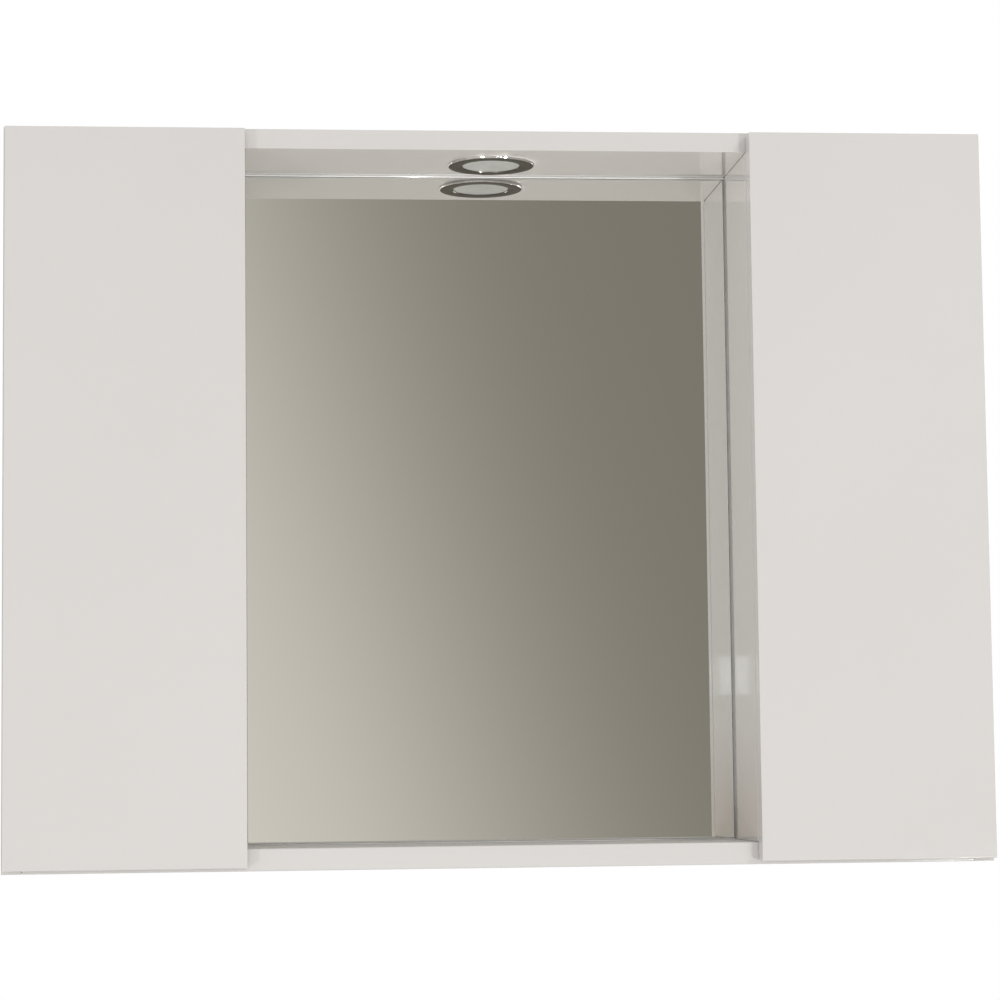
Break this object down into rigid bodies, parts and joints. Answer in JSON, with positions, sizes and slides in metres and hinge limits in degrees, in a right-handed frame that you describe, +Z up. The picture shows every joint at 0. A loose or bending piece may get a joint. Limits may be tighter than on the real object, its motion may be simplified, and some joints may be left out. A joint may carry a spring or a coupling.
{
  "type": "mirror cabinet",
  "caption": "Wall-hung bathroom cabinet with gloss doors on both sides of an open mirror recess lit by a spotlight in its ceiling.",
  "frame": {"origin": "centre of the back panel's rear face, on the wall plane", "axes": "+X to the right as seen from the room, +Y into the wall, +Z up"},
  "size_m": [0.8, 0.15, 0.6],
  "materials": {
    "gloss_board": "high-gloss white lacquered board",
    "back_board": "white-faced fibreboard, matt",
    "mirror_glass": "silvered float glass",
    "foam_tape": "foam mirror tape",
    "nickel_steel": "nickel-plated pressed steel",
    "dark_chrome": "dark polished chrome",
    "frosted_glass": "frosted glass, unlit",
    "aluminium": "satin",
    "led_board": "white solder-masked board",
    "white_plastic": "fine-textured moulding",
    "grey_plastic": "fine-textured moulding",
    "clear_rubber": "soft clear dome",
    "black_rubber": "matt",
    "white_cable": "smooth cable sheath"
  },
  "bodies": {
    "carcase": {"side_panel_left": "gloss_board", "divider_left": "gloss_board", "shelf_left_lower": "gloss_board", "hinge_plate_left_lower": "nickel_steel", "hinge_arm_left_lower": "nickel_steel", "shelf_left_upper": "gloss_board", "hinge_plate_left_upper": "nickel_steel", "hinge_arm_left_upper": "nickel_steel", "hanger_left": "nickel_steel", "mirror_tape_left": "foam_tape", "latch_housing_left": "grey_plastic", "side_panel_right": "gloss_board", "divider_right": "gloss_board", "shelf_right_lower": "gloss_board", "hinge_plate_right_lower": "nickel_steel", "hinge_arm_right_lower": "nickel_steel", "shelf_right_upper": "gloss_board", "hinge_plate_right_upper": "nickel_steel", "hinge_arm_right_upper": "nickel_steel", "hanger_right": "nickel_steel", "mirror_tape_right": "foam_tape", "latch_housing_right": "grey_plastic", "top_panel": "gloss_board", "bottom_panel": "gloss_board", "back_panel": "back_board", "mirror_backing_board": "back_board", "mirror": "mirror_glass", "spot_trim_ring": "dark_chrome", "spot_glass": "frosted_glass", "spot_housing": "aluminium", "spot_led_board": "led_board", "spot_clip_front": "nickel_steel", "spot_clip_rear": "nickel_steel", "lamp_lead": "white_cable", "lamp_driver": "white_plastic", "supply_grommet": "black_rubber"},
    "left_outer_links": {"hinge_outer_link_left_lower": "nickel_steel", "hinge_outer_link_left_upper": "nickel_steel"},
    "left_door": {"door_left": "gloss_board", "hinge_cup_left_lower": "nickel_steel", "hinge_cup_left_upper": "nickel_steel", "strike_plate_left": "nickel_steel", "bumper_left_lower": "clear_rubber", "bumper_left_upper": "clear_rubber"},
    "left_inner_links": {"hinge_inner_link_left_lower": "nickel_steel", "hinge_inner_link_left_upper": "nickel_steel"},
    "left_plunger": {"latch_plunger_left": "white_plastic"},
    "right_outer_links": {"hinge_outer_link_right_lower": "nickel_steel", "hinge_outer_link_right_upper": "nickel_steel"},
    "right_door": {"door_right": "gloss_board", "hinge_cup_right_lower": "nickel_steel", "hinge_cup_right_upper": "nickel_steel", "strike_plate_right": "nickel_steel", "bumper_right_lower": "clear_rubber", "bumper_right_upper": "clear_rubber"},
    "right_inner_links": {"hinge_inner_link_right_lower": "nickel_steel", "hinge_inner_link_right_upper": "nickel_steel"},
    "right_plunger": {"latch_plunger_right": "white_plastic"}
  },
  "joints": [
    {"name": "left_outer_link_swing", "type": "hinge", "parent": "carcase", "child": "left_outer_links", "pos_m": [-0.364, -0.1292, 0], "axis": [0, 0, -1], "range_deg": [-32, 0.5]},
    {"name": "left_door_open", "type": "hinge", "parent": "left_outer_links", "child": "left_door", "pos_m": [-0.38675, -0.1365, 0], "axis": [0, 0, -1], "range_deg": [0, 126.67]},
    {"name": "left_inner_link_swing", "type": "hinge", "parent": "left_door", "child": "left_inner_links", "pos_m": [-0.38865, -0.14135, 0], "axis": [0, 0, -1], "range_deg": [-107, 0.5]},
    {"name": "left_latch_push", "type": "slide", "parent": "carcase", "child": "left_plunger", "axis": [0, -1, 0], "range_m": [-0.002, 0.0185]},
    {"name": "right_outer_link_swing", "type": "hinge", "parent": "carcase", "child": "right_outer_links", "pos_m": [0.364, -0.1292, 0], "axis": [0, 0, 1], "range_deg": [-32, 0.5]},
    {"name": "right_door_open", "type": "hinge", "parent": "right_outer_links", "child": "right_door", "pos_m": [0.38675, -0.1365, 0], "axis": [0, 0, 1], "range_deg": [0, 126.67]},
    {"name": "right_inner_link_swing", "type": "hinge", "parent": "right_door", "child": "right_inner_links", "pos_m": [0.38865, -0.14135, 0], "axis": [0, 0, 1], "range_deg": [-107, 0.5]},
    {"name": "right_latch_push", "type": "slide", "parent": "carcase", "child": "right_plunger", "axis": [0, -1, 0], "range_m": [-0.002, 0.0185]}
  ],
  "couplings": [
    {"joint": "left_outer_link_swing", "follows": "left_door_open", "ratio": -0.25},
    {"joint": "left_inner_link_swing", "follows": "left_door_open", "ratio": -0.84},
    {"joint": "left_latch_push", "follows": "left_door_open", "m_per_rad": 0.008},
    {"joint": "right_outer_link_swing", "follows": "right_door_open", "ratio": -0.25},
    {"joint": "right_inner_link_swing", "follows": "right_door_open", "ratio": -0.84},
    {"joint": "right_latch_push", "follows": "right_door_open", "m_per_rad": 0.008}
  ]
}
